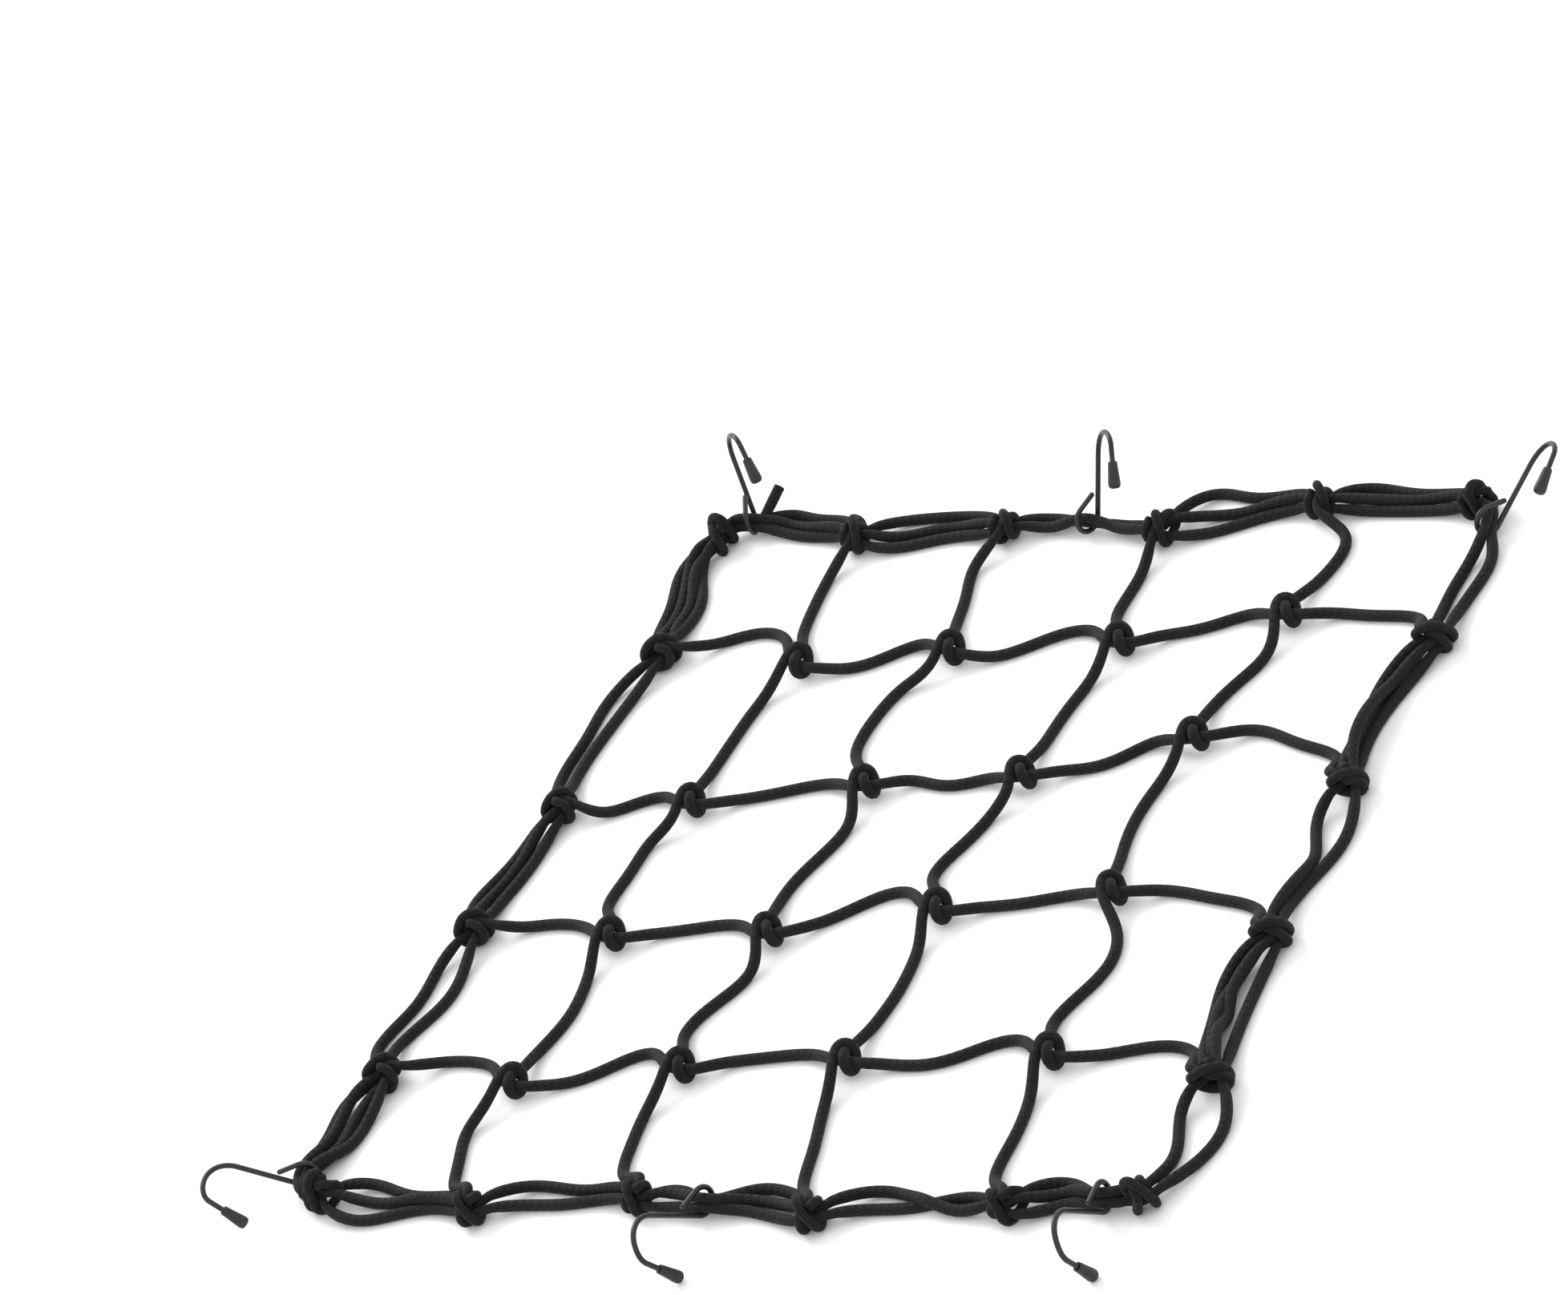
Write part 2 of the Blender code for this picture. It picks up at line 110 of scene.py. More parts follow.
# Border cords, one row for each mesh of a side and one entry for each cord: outward is
# positive, outermost cord first; left and right sides run back to front, the others left to
# right.
BORDER = {
    "left": (
        ((16, 2, 4), (10, 2, 3), (4, 2, 2), (0, 3, 3)),
        ((20, 1, 4), (9, -1, 1)),
        ((14, -3, 3), (8, -2, 2), (1, -1, 1)),
        ((16, -3, 5), (1, -5, 3)),
        ((21, -1, 5), (16, -1, 4), (9, 0, 2), (2, -1, 0)),
    ),
    "right": (
        ((10, 4, 0), (-1, 4, 0)),
        ((-8, 1, 0), (-10.5, 0, -1), (-13.2, -1, -2), (-18, -2, -3)),
        ((3, 5, -1), (-6, -2, -5)),
        ((-2, 0, 0), (-9.5, -1, -1), (-13, -1, -1), (-18, -2, -3)),
        ((14, 2, 0), (-4, -5, -2)),
    ),
    "back": (
        ((20, 4, 5), (11, 3, 2), (6, 2, 2)),
        ((15, 0, 2), (5, -2, -1), (-2, -3, -1)),
        ((10, 2, 1), (3, 1, 1)),
        ((20, 5, 5), (8, 1, 2), (0, -3, 0)),
        ((12, 2, 3), (4, -1, 1), (-1, 0, 0)),
    ),
    "front": (
        ((3, 6, 1), (-4, 2, -1), (-11, -1, -4)),
        ((-6, 0, -2), (-15, -3, -3)),
        ((-3, 0, 1), (-10, 0, -1), (-17, 1, -2)),
        ((-9, 2, -3), (-11, -7, -2)),
        ((-5, 3, 1), (-12, 4, -2), (-16, -1, -3)),
    ),
}
print("border cords in all the meshes:", sum(map(len, sum(BORDER.values(), ()))))

# %% Where the border cords lie when they are drawn together: (outward, up)
IN_EYE = {
    2: ((0.0, -2.2), (0.0, 1.6)),
    3: ((2.0, -1.4), (0.0, 2.0), (-2.0, -1.4)),
    4: ((1.9, -1.9), (1.9, 1.8), (-1.9, -1.9), (-1.9, 1.8)),
}
IN_HITCH = {
    2: ((1.5, -0.4), (-1.5, 0.4)),
    3: ((1.6, -1.1), (0.0, 1.5), (-1.6, -1.1)),
    4: ((1.5, -1.4), (1.5, 1.4), (-1.5, -1.4), (-1.5, 1.4)),
}
print("bundles of", ", ".join(str(count) for count in IN_HITCH), "cords")

# %% Where the six hooks hold the border
# name: side, mesh of that side, part of the way along it and how far outward its eye sits,
# then degrees: the shank's heading and rise, and the turn of the bend about the shank.
HOOKS = {
    "front_left": ("left", 4, 0.830, 12.8, -157, 43, -14),
    "front_middle": ("front", 2, 0.366, -2.6, -105, 46, -59),
    "front_right": ("front", 4, 0.716, -1.6, -88, 48, -73),
    "back_left": ("back", 0, 0.170, 7.4, 108, 68, 125),
    "back_middle": ("back", 2, 0.512, 4.0, 69, 58, 155),
    "back_right": ("right", 0, 0.178, 7.0, 60, 28, 158),
}
EYE_HOLD = (5.5, 16.0)  # cords start to part, and have parted, this far from an eye
EYE_HEIGHT = 7.1        # height of the border cords inside an eye
EYE_SLIP = 1.0          # how much farther outward they lie than the eye's own place
NO_EYE = (9.0, 0.0)     # stands for the eye of a mesh without a hook: far off its ends
print("hooks:", ", ".join(HOOKS))

# %% [markdown]
# ## Paths of the loose cords
#
# A loose cord between two knots is a straight line with up to three half waves laid on it
# sideways. It leaves each knot high and comes down to the surface within two centimetres.
# Border cords share their meshes, so where they come close, one has to climb on the others.
# Each station along a mesh stacks them like round logs: the two at the edges lie down first,
# which keeps the edges of the bundle smooth, and then those between them.

# %% Small rules for numbers and paths
def ease(value):
    """Smooth step from 0 to 1."""
    value = np.clip(value, 0.0, 1.0)
    return value * value * (3.0 - 2.0 * value)


def between(value, limits):
    """0 below the first limit, 1 above the second, and a smooth step from one to the other."""
    return ease((value - limits[0]) / (limits[1] - limits[0]))


def steps_along(points):
    """Distance from each point of a path to the next."""
    return np.linalg.norm(np.diff(points, axis=0), axis=1)


def spaced(points, step):
    """The same path with its points an even step apart."""
    points = np.asarray(points, float)
    reach = np.insert(np.cumsum(steps_along(points)), 0, 0.0)
    stops = np.linspace(0, reach[-1], max(2, round(reach[-1] / step) + 1))
    return np.stack([np.interp(stops, reach, points[:, i]) for i in range(3)], axis=1)


print("share of the way down, 15 mm from a knot:", round(between(15.0, FALL), 2))

# %% Where the knots are, and one loose cord
SPAN_POINTS = 24        # points that draw one loose stretch


def knot_place(row, col):
    """Middle of a hitch on the border, or a knot's crossing point; row 0 is at the back."""
    half = MESHES * PITCH / 2
    right, back = KNOT_SHIFT[row][col]
    inside = 0 < row < MESHES and 0 < col < MESHES
    lean = KNOT_LEAN if inside else HITCH_LEAN
    x = col * PITCH - half + right + lean
    y = half - row * PITCH + back - lean
    return np.array((x, y, 0.0))


def wander(modes, t):
    """Sideways distance of a cord from its straight line, t of the way along it."""
    return sum(size * sin((i + 1) * pi * t) for i, size in enumerate(modes))


def sideways(start, end, outward):
    """Level direction square to a chord, on its outward side."""
    across = np.cross(end - start, (0, 0, 1))
    across = across / np.linalg.norm(across)
    return across if np.dot(across, outward) > 0 else -across


def net_span(start, end, outward, modes):
    """Loose stretch of one cord of the net, clear of the knots at its ends."""
    across = sideways(start, end, outward)
    length = np.linalg.norm(end - start)
    points = []
    for t in np.linspace(REACH / length, 1 - REACH / length, SPAN_POINTS):
        drop = between(min(t, 1 - t) * length, FALL)
        point = start + (end - start) * t + across * wander(modes, t)
        point[2] = KNOT_HEIGHT + (CORD_R - KNOT_HEIGHT) * drop
        points.append(point)
    return np.array(points)


lines = range(MESHES + 1)
PLACES = {(row, col): knot_place(row, col) for row in lines for col in lines}
print("back left corner at", PLACES[0, 0])

# %% Border cords, stacked where they come close
STATIONS = 48           # stations along one mesh


def side_ends(side, span):
    """The two knots of one mesh of a side, and that side's outward direction."""
    last = MESHES
    ends = {
        "left": (PLACES[span, 0], PLACES[span + 1, 0], (-1, 0, 0)),
        "right": (PLACES[span, last], PLACES[span + 1, last], (1, 0, 0)),
        "back": (PLACES[0, span], PLACES[0, span + 1], (0, 1, 0)),
        "front": (PLACES[last, span], PLACES[last, span + 1], (0, -1, 0)),
    }
    return ends[side]


def eye_on(side, span):
    """Part of the way along and distance outward of the eye on a mesh of a side, or None."""
    for place in HOOKS.values():
        if place[:2] == (side, span):
            return place[2:4]
    return None


def stacked(spreads, thick):
    """Height of each round cord laid at these sideways places: the edges first."""
    heights = {}
    for i in (0, *range(len(spreads) - 1, 0, -1)):
        height = thick / 2
        for other in sorted(heights, key=heights.get):
            near = abs(spreads[other] - spreads[i])
            lift = sqrt(max(0.0, thick * thick - near * near))
            if abs(height - heights[other]) < lift:
                height = heights[other] + lift
        heights[i] = height
    return heights


def border_span(side, span):
    """Paths of every cord of one mesh of a side, drawn together in hitches and eyes."""
    start, end, outward = side_ends(side, span)
    across = sideways(start, end, outward)
    length = np.linalg.norm(end - start)
    cords = BORDER[side][span]
    eye, middle = eye_on(side, span) or NO_EYE
    paths = [[] for _ in cords]
    for t in np.linspace(0.0, 1.0, STATIONS):
        drop = between(min(t, 1 - t) * length, FALL)
        hold = 1 - between(abs(t - eye) * length, EYE_HOLD)
        spreads = [wander(modes, t) for modes in cords]
        heights = stacked(spreads, 2 * CORD_R)
        for i, path in enumerate(paths):
            out, up = IN_HITCH[len(cords)][i]
            spread = spreads[i] + out * (1 - drop)
            height = (BUNDLE_HEIGHT + up) * (1 - drop) + heights[i] * drop
            out, up = IN_EYE[len(cords)][i]
            spread = spread * (1 - hold) + (middle + EYE_SLIP + out) * hold
            height = height * (1 - hold) + (EYE_HEIGHT + up) * hold
            path.append(start + (end - start) * t + across * spread + (0, 0, height))
    return [np.array(path) for path in paths]


lying = stacked((3, 0), 2 * CORD_R).values()
print("two cords 3 mm apart lie at, mm:", [round(height, 1) for height in lying])

# %% [markdown]
# ## Join the border cords round the net
#
# The real border is a few long cords that run right round the net, in and out of the hitches.
# Where one mesh shows fewer cords than the next, the others end inside the hitch. So each
# cord of a mesh is joined to the cord that lies in the same place in the next mesh.

# %% Run the border cords round the four sides
def round_the_net():
    """Every mesh of the border in turn, from the back left corner round to it again."""
    last = range(MESHES)
    turns = [("back", last, False), ("right", last, False)]
    turns += [("front", reversed(last), True), ("left", reversed(last), True)]
    for side, spans, turned in turns:
        for span in spans:
            yield [path[::-1] if turned else path for path in border_span(side, span)]


def join_border():
    """Long border cords, each a list of the meshes that it runs through."""
    done = []
    live = []
    for paths in round_the_net():
        if not live:
            live = [[path] for path in paths]
            continue
        few = min(len(live), len(paths))
        many = max(len(live), len(paths))
        partner = [round(i * (many - 1) / (few - 1)) for i in range(few)]
        if len(live) <= len(paths):
            joined = {j: live[i] for i, j in enumerate(partner)}
            live = [joined.get(j, []) + [path] for j, path in enumerate(paths)]
        else:
            done += [cord for i, cord in enumerate(live) if i not in partner]
            live = [live[i] + [paths[j]] for j, i in enumerate(partner)]
    return done + live


print("meshes of the border:", len(list(round_the_net())))


# %% Ease the kinks out where the cords are free
STEP = 1.3              # distance between the points of a path


def smoothed(points, rounds, free=1.0):
    """A path with its kinks eased out where it is free to move; its ends stay."""
    points = points.copy()
    weight = np.broadcast_to(np.asarray(free, float), len(points))[1:-1, None] * 0.5
    for _ in range(rounds):
        middle = (points[:-2] + points[2:]) / 2
        points[1:-1] += weight * (middle - points[1:-1])
    return points


def level_distance(path, places):
    """Level distance of each point of a path from the nearest of some places."""
    flat = path[:, None, :2] - np.array(list(places))[None, :, :2]
    return np.linalg.norm(flat, axis=2).min(axis=1)


def slackened(path, rounds, limits):
    """A path smoothed outside its knots, from the first limit on and fully at the second."""
    return smoothed(path, rounds, between(level_distance(path, PLACES.values()), limits))


border = [smoothed(spaced(np.concatenate(cord), STEP), rounds=6) for cord in join_border()]
border = [slackened(cord, rounds=50, limits=(9.0, 15.0)) for cord in border]
print("border cords:", len(border), "points:", sum(len(cord) for cord in border))

# %% [markdown]
# ## Tie the knots
#
# A knot is hard to draw and easy to tie. Each one starts as a loose loop whose overs and
# unders are right, and is then pulled tight: every point moves towards the middle of its
# neighbours, as a stretched cord does, and cords that come closer than their thickness push
# each other away. After some hundred rounds the loop has closed on the cord that it holds.

# %% Push a cord off what it touches
STAY = 3                # points at each end of a rope that don't move while it is tied
OWN_TURN = 1.5          # thicknesses along the rope from where its own turns push each other
CROWDED = 0.6           # share of the touching points that the push is divided by
TINY = 1e-9             # keeps a distance of nothing from being divided by


def push_clear(rope, around, thick):
    """Move a rope's points off the cords around it, and off its own other turns."""
    free = rope[STAY:-STAY]
    place = np.arange(STAY, len(rope) - STAY)
    own = free[:, None] - rope[None]
    own_far = np.linalg.norm(own, axis=2) + TINY
    beside = abs(place[:, None] - np.arange(len(rope))) * STEP < OWN_TURN * thick
    own_short = np.where(beside, 0.0, np.maximum(0.0, thick - own_far)) * 0.5
    gap = free[:, None] - around[None]
    far = np.linalg.norm(gap, axis=2) + TINY
    short = np.maximum(0.0, thick - far)
    push = (own / own_far[..., None] * own_short[..., None]).sum(axis=1)
    push += (gap / far[..., None] * short[..., None]).sum(axis=1)
    touching = (own_short > 0).sum(axis=1) + (short > 0).sum(axis=1)
    free += push / np.maximum(1.0, CROWDED * touching)[:, None]
    free[:, 2] = np.maximum(free[:, 2], thick / 2)


print("points that stay at each end:", STAY)


# %% Pull a cord tight against the others
PULL = 0.4              # share of the way to its neighbours' middle that a point moves
PUSHES = 2              # pushes after each pull
EVEN_EVERY = 4          # the points are spaced again after this many pulls


def evened(rope):
    """A rope whose free stretch has its points an even step apart again."""
    free = spaced(rope[STAY - 1:1 - STAY], STEP)
    return np.concatenate((rope[:STAY - 1], free, rope[1 - STAY:]))


def pull_tight(rope, others, thick, rounds):
    """A rope drawn tight among other cords, which don't move."""
    around = np.concatenate(others)
    rope = evened(rope)
    for turn in range(1, rounds + 1):
        move = PULL * ((rope[:-2] + rope[2:]) / 2 - rope[1:-1])
        rope[STAY:-STAY] += move[STAY - 1:1 - STAY]
        for _ in range(PUSHES):
            push_clear(rope, around, thick)
        if turn % EVEN_EVERY == 0:
            rope = evened(rope)
    return rope


print("pulls between two spacings of the points:", EVEN_EVERY)

# %% [markdown]
# ### The knots inside the net
#
# The cord that runs up is tied round the cord across: over it, round behind, down and back
# under it, up at the front, over it again and out under its own first turn. That is an
# overhand knot with the other cord caught inside.

# %% The overhand knot
# Points of the loose knot round a cord that runs across: right, back, up.
OVERHAND = (
    (-1, -12, 5), (-3, -8, 7), (-6, -2, 12.5), (-5, 4, 12), (-0.5, 8, 9), (6, 6.5, 5.5),
    (8, 0, 2.6), (5, -6, 5), (0, -5.5, 10), (1, 0, 12.5), (1.5, 4, 9), (0.5, 8, 4.5),
    (0, 12, 4),
)
KNOT_MIDDLE = (0.3, -1.4, 0)    # from the crossing's place to the middle of the lump
PASS = 6.0                      # the cord across runs straight this far each side of it
PASS_ROUNDS = 12
KNOT_ROUNDS = 110
KNOT_TOUCH = 0.87       # how near tied cords come, as a share of their pulled thickness


def turned(points, heading, centre):
    """Points turned about the upright by some degrees and moved to a centre."""
    angle = radians(heading)
    points = np.asarray(points, float)
    right = points[:, 0] * cos(angle) - points[:, 1] * sin(angle)
    back = points[:, 0] * sin(angle) + points[:, 1] * cos(angle)
    return np.stack((right, back, points[:, 2]), axis=1) + centre


def tie_overhand(row, col, across, upward):
    """Stretches of the two cords of an inner knot, tied from the spans on each side."""
    centre = PLACES[row, col] + KNOT_MIDDLE
    before, after = across
    above, below = upward
    run = after[0] - before[-1]
    course = degrees(atan2(run[1], run[0]))
    through = turned(((-PASS, 0, KNOT_HEIGHT), (PASS, 0, KNOT_HEIGHT)), course, centre)
    passed = evened(np.concatenate((before[-STAY:], through, after[:STAY])))
    inside = slice(STAY - 1, 1 - STAY)
    passed[inside] = smoothed(passed[inside], PASS_ROUNDS)
    loose = turned(OVERHAND, course + KNOT_TURN[row - 1][col - 1], centre)
    rope = np.concatenate((below[:STAY][::-1], loose, above[-STAY:][::-1]))
    thick = 2 * CORD_R * PULLED * KNOT_TOUCH
    return passed, pull_tight(rope, [passed], thick, KNOT_ROUNDS)[::-1]


print("points of the loose knot:", len(OVERHAND))


# %% Tie every inner knot
def across_span(row, span):
    """Loose stretch of a cord across."""
    start, end = PLACES[row, span], PLACES[row, span + 1]
    return net_span(start, end, (0, 1, 0), ACROSS[row - 1][span])


def upward_span(col, span):
    """Loose stretch of a cord up the net."""
    start, end = PLACES[span, col], PLACES[span + 1, col]
    return net_span(start, end, (1, 0, 0), UPWARD[col - 1][span])


inner = range(1, MESHES)
across = {row: [across_span(row, span) for span in range(MESHES)] for row in inner}
upward = {col: [upward_span(col, span) for span in range(MESHES)] for col in inner}
tied = {}
for row in inner:
    for col in inner:
        pairs = across[row][col - 1:col + 1], upward[col][row - 1:row + 1]
        tied[row, col] = tie_overhand(row, col, *pairs)
print("overhand knots:", len(tied))
print("cord tied in the first one, mm:", round(steps_along(tied[1, 1][1]).sum()))

# %% [markdown]
# ### The hitches on the border
#
# Each cord ends in a hitch round the border cords: once round them, across over its own
# first turn, once round again on the other side, and tucked in under the crossing. The four
# corners are bound the same way by a short piece of cord.

# %% The hitch
# Loose hitch round the bundle: degrees round it from the inner side, place along it, distance.
HITCH = (
    (10, 0.3, 8.5), (50, 1.2, 7.2), (90, 2.0, 6.4), (135, 2.6, 6.4), (180, 3.0, 6.4),
    (225, 3.4, 5.6), (270, 3.8, 4.6), (315, 4.4, 5.6), (360, 4.8, 7.0), (400, 4.2, 9.0),
    (430, 2.6, 10.2), (450, 0.6, 10.6), (475, -1.6, 10.0), (505, -3.0, 8.2), (540, -3.6, 6.8),
    (585, -3.8, 5.6), (630, -3.8, 4.6), (675, -3.8, 5.6), (720, -3.6, 6.5), (755, -2.8, 6.4),
    (790, -2.2, 6.2), (815, -1.8, 6.0),
)
HITCH_ROUNDS = 150
HITCH_TOUCH = 0.94      # how near the cords come, as a share of their packed thickness
HITCH_SPREAD = 0.85     # share of the places along the bundle that the loose hitch uses
HITCH_REACH = 15.0      # border cords this near count as its bundle
LOWEST = 1.9            # no point of a loose hitch lies lower


def hitch_points(centre, inward, along):
    """Points of a loose hitch about a bundle that passes through a centre."""
    points = []
    for turn, place, away in HITCH:
        angle = radians(turn)
        spot = centre + inward * away * cos(angle) + along * (HITCH_SPREAD * place)
        points.append(spot + (0, 0, BUNDLE_HEIGHT + away * sin(angle)))
    points = np.array(points)
    points[:, 2] = np.maximum(points[:, 2], LOWEST)
    return points


def tie_hitch(place, inward, span=None):
    """A hitch round the border at a place; `span` is the loose stretch that it ends."""
    centre = PLACES[place]
    along = np.array((-inward[1], inward[0], 0.0))
    loose = hitch_points(centre, inward, along)
    rope = loose[1:] if span is None else np.concatenate((span[:STAY][::-1], loose))
    bundle = []
    for cord in border:
        away = np.linalg.norm(cord - centre - (0, 0, BUNDLE_HEIGHT), axis=1)
        if (away < HITCH_REACH).any():
            bundle.append(cord[away < HITCH_REACH])
    return pull_tight(rope, bundle, 2 * CORD_R * PACKED * HITCH_TOUCH, HITCH_ROUNDS)


print("turns of a hitch:", round((HITCH[-1][0] - HITCH[0][0]) / 360, 1))

# %% Tie the hitches at both ends of every cord and at the corners
RIGHT = np.array((1.0, 0, 0))
BACK = np.array((0, 1.0, 0))
hitches = {}
for i in inner:
    hitches[i, 0] = tie_hitch((i, 0), RIGHT, across[i][0])
    hitches[i, MESHES] = tie_hitch((i, MESHES), -RIGHT, across[i][-1][::-1])
    hitches[0, i] = tie_hitch((0, i), -BACK, upward[i][0])
    hitches[MESHES, i] = tie_hitch((MESHES, i), BACK, upward[i][-1][::-1])
for row, towards in ((0, -BACK), (MESHES, BACK)):
    hitches[row, 0] = tie_hitch((row, 0), (RIGHT + towards) / sqrt(2))
    hitches[row, MESHES] = tie_hitch((row, MESHES), (towards - RIGHT) / sqrt(2))
print("hitches:", len(hitches))


# %% Put the stretches of each cord end to end
CUT_END = ((-162.0, 196.5, 6.6), (-160.5, 202.5, 8.2), (-157.5, 211.5, 12.0))
CUT_STEP = 1.0          # distance between the points of that short path


def whole_cord(spans, knots, first, last):
    """One cord of the net from the hitch at its start to the hitch at its end."""
    parts = [first[::-1]]
    for span, knot in zip(spans, [*knots, last]):
        parts += [span[STAY:-STAY], knot]
    path = spaced(np.concatenate(parts), STEP)
    return smoothed(slackened(path, rounds=30, limits=(8.0, 14.0)), rounds=3)


cord_work = {"cords_across": [], "cords_up": [], "border_cords": border}
for i in inner:
    knots = [tied[i, col][0] for col in inner]
    cord = whole_cord(across[i], knots, hitches[i, 0], hitches[i, MESHES])
    cord_work["cords_across"].append(cord)
    knots = [tied[row, i][1] for row in inner]
    cord = whole_cord(upward[i], knots, hitches[0, i], hitches[MESHES, i])
    cord_work["cords_up"].append(cord)
corners = [(row, col) for row in (0, MESHES) for col in (0, MESHES)]
cord_work["corner_bindings"] = [hitches[corner] for corner in corners]
cord_work["cut_end"] = [spaced(CUT_END, CUT_STEP)]
total = 0.0
for name, cords in cord_work.items():
    lengths = [steps_along(cord).sum() for cord in cords]
    print(name + ", mm:", [round(length) for length in lengths])
    total += sum(lengths) * MM
print("cord in the whole net, m:", round(total, 2))

# %% [markdown]
# ## Wiring nodes with plain expressions
#
# Both the shape of the cords and their finish are node trees. Wiring nodes by hand makes long
# scripts, so one small class stands for an output socket and turns +, -, * and / on it into
# Math nodes, and one method adds any other node.

# %% A socket that can be calculated with
class Flow:
    """What comes out of a node; arithmetic on it adds Math nodes to the same tree."""

    def __init__(self, board, socket):
        self.board = board
        self.socket = socket

    def __add__(self, other):
        return self.board.maths("ADD", self, other)

    def __radd__(self, other):
        return self.board.maths("ADD", other, self)

    def __sub__(self, other):
        return self.board.maths("SUBTRACT", self, other)

    def __rsub__(self, other):
        return self.board.maths("SUBTRACT", other, self)

    def __mul__(self, other):
        return self.board.maths("MULTIPLY", self, other)

    def __rmul__(self, other):
        return self.board.maths("MULTIPLY", other, self)

    def __truediv__(self, other):
        return self.board.maths("DIVIDE", self, other)

    def __pow__(self, other):
        return self.board.maths("POWER", self, other)


    def other(self, name):
        """Another output of the same node."""
        return Flow(self.board, found(self.socket.node.outputs, name))


def found(sockets, name):
    """The socket at a number, or the one in use that has a name."""
    if isinstance(name, int):
        return sockets[name]
    return next(socket for socket in sockets if socket.name == name and socket.enabled)


SIGNS = ("add__", "sub__", "mul__", "div__", "pow__")
print("operators of a flow:", [name for name in vars(Flow) if name.endswith(SIGNS)])


# %% A board that the nodes are put on
class Board:
    """A node tree that is being wired."""

    def __init__(self, tree):
        self.tree = tree

    def maths(self, operation, *values):
        """A Math node on numbers or flows."""
        return self.node("ShaderNodeMath", dict(enumerate(values)), operation=operation)

    def feed(self, made, values):
        """Link flows to a node's sockets, or set them to plain values."""
        for name, value in values.items():
            socket = found(made.inputs, name)
            if isinstance(value, Flow):
                self.tree.links.new(value.socket, socket)
            else:
                socket.default_value = value

    def node(self, kind, values=None, out=0, **settings):
        """Any node: its settings first, then what goes into its sockets."""
        made = self.tree.nodes.new(kind)
        for name, setting in settings.items():
            setattr(made, name, setting)
        self.feed(made, values or {})
        return Flow(self, found(made.outputs, out)) if made.outputs else None

    def ramp(self, value, *stops):
        """A colour ramp: each stop is a place from 0 to 1 and a colour."""
        colour = self.node("ShaderNodeValToRGB", {"Fac": value})
        elements = colour.socket.node.color_ramp.elements
        while len(elements) < len(stops):
            elements.new(0.5)
        for stop, (place, shade) in zip(elements, stops):
            stop.position = place
            stop.color = (*shade, 1.0)
        return colour


print("a board can", [name for name in vars(Board) if not name.startswith("_")])

# %% [markdown]
# ## The braided sheath
#
# Elastic cord is rubber inside a braided sheath of dull black yarn. Eleven strands wind each
# way round it at a steep pitch, each strand a flat band of three yarns. The braid is finer
# than the mesh should be, so it is drawn by the finish: its height goes to a Bump node, and
# the valleys are rougher and painted darker, a painted shade in the braid's hollows. It
# follows the cord because it reads the map that the sweep writes along it, once round for 1
# and a metre of length for 1.

# %% A finish to start from
def new_finish(name):
    """A material with a plain Principled shader, and the board that wires it."""
    finish = bpy.data.materials.new(name)
    finish.use_nodes = True
    return finish, Board(finish.node_tree), finish.node_tree.nodes["Principled BSDF"]


def grain(board, scale, detail):
    """Even noise through the whole object, so many cells to a metre."""
    spot = board.node("ShaderNodeTexCoord", out="Object")
    return board.node("ShaderNodeTexNoise", {"Vector": spot, "Scale": scale, "Detail": detail})


print("materials of the frame:", [material.name for material in bpy.data.materials])

# %% Finish of the cord
BRAID_STRANDS = 11      # strands that wind each way round the cord
BRAID_PITCH = 0.040     # length of one whole turn of a strand, metres
BRAID_DEPTH = 0.00025   # metres from the top of a strand to the valley beside it
YARNS = 3               # in each strand
STRAND_ROUND = 2.5      # a higher power makes a flatter strand


def braid_height(board):
    """Height of the braid, from 0 in a valley to 1 on top of a strand."""
    around = board.node(
        "ShaderNodeSeparateXYZ", {"Vector": board.node("ShaderNodeUVMap", uv_map="sheath")},
        out="X")
    turns = around.other("Y") / BRAID_PITCH
    wound = [(around + turns) * BRAID_STRANDS, (around - turns) * BRAID_STRANDS]
    numbers = [board.maths("FLOOR", place) for place in wound]
    on_top = board.maths("FLOORED_MODULO", numbers[0] + numbers[1], 2.0)
    shapes = []
    for place in wound:
        inside = board.maths("FRACT", place)
        rise = 1.0 - board.maths("ABSOLUTE", inside * 2.0 - 1.0) ** STRAND_ROUND
        yarn = board.maths("SINE", inside * (YARNS * 2 * pi)) * 0.5 + 0.5
        shapes.append((rise, yarn))
    (left_rise, left_yarn), (right_rise, right_yarn) = shapes
    rise = board.node("ShaderNodeMix", {"Factor": on_top, "A": right_rise, "B": left_rise})
    yarn = board.node("ShaderNodeMix", {"Factor": on_top, "A": right_yarn, "B": left_yarn})
    return rise * (0.75 + yarn * 0.25)


def cord_finish():
    """Dull black braided yarn."""
    finish, board, shader = new_finish("black_braided_cord")
    height = braid_height(board)
    fuzz = grain(board, scale=2600.0, detail=2.0)
    # Painted shade and random tone: the braid's valleys are painted darker and the tops of its
    # strands lighter, and the grain adds uneven tone.
    shade = height * 0.65 + grain(board, scale=45.0, detail=3.0) * 0.35
    board.feed(shader, {
        "Base Color": board.ramp(
            shade, (0.05, (0.0015, 0.0015, 0.0017)), (0.55, (0.0055, 0.0053, 0.0055)),
            (1.0, (0.018, 0.0172, 0.0176))),
        "Roughness": board.node(
            "ShaderNodeMapRange", {"Value": height, "To Min": 0.95, "To Max": 0.62}),
        "Normal": board.node("ShaderNodeBump", {
            "Strength": 0.8, "Distance": BRAID_DEPTH, "Height": height + fuzz * 0.25}),
        "Sheen Weight": 0.035, "Sheen Roughness": 0.5, "Specular IOR Level": 0.15,
    })
    return finish


cord_black = cord_finish()
print("finish:", cord_black.name, "nodes:", len(cord_black.node_tree.nodes))

# %% [markdown]
# ## Sweep a round body along a path
#
# Every cord and every hook wire is the same thing: a round section carried along a path. A
# node tree does it for all of them, with the number of sides, the length of a step and the
# finish as inputs, and reads the radius from each point. The section is left open by one seam
# while the map is written, so that the map runs cleanly from 0 to 1, and is closed after.

# %% The node tree that sweeps
def kept(board, geometry, name, value, data_type="FLOAT", domain="POINT"):
    """Geometry that keeps a value under a name."""
    return board.node(
        "GeometryNodeStoreNamedAttribute",
        {"Geometry": geometry, "Name": name, "Value": value},
        data_type=data_type, domain=domain)


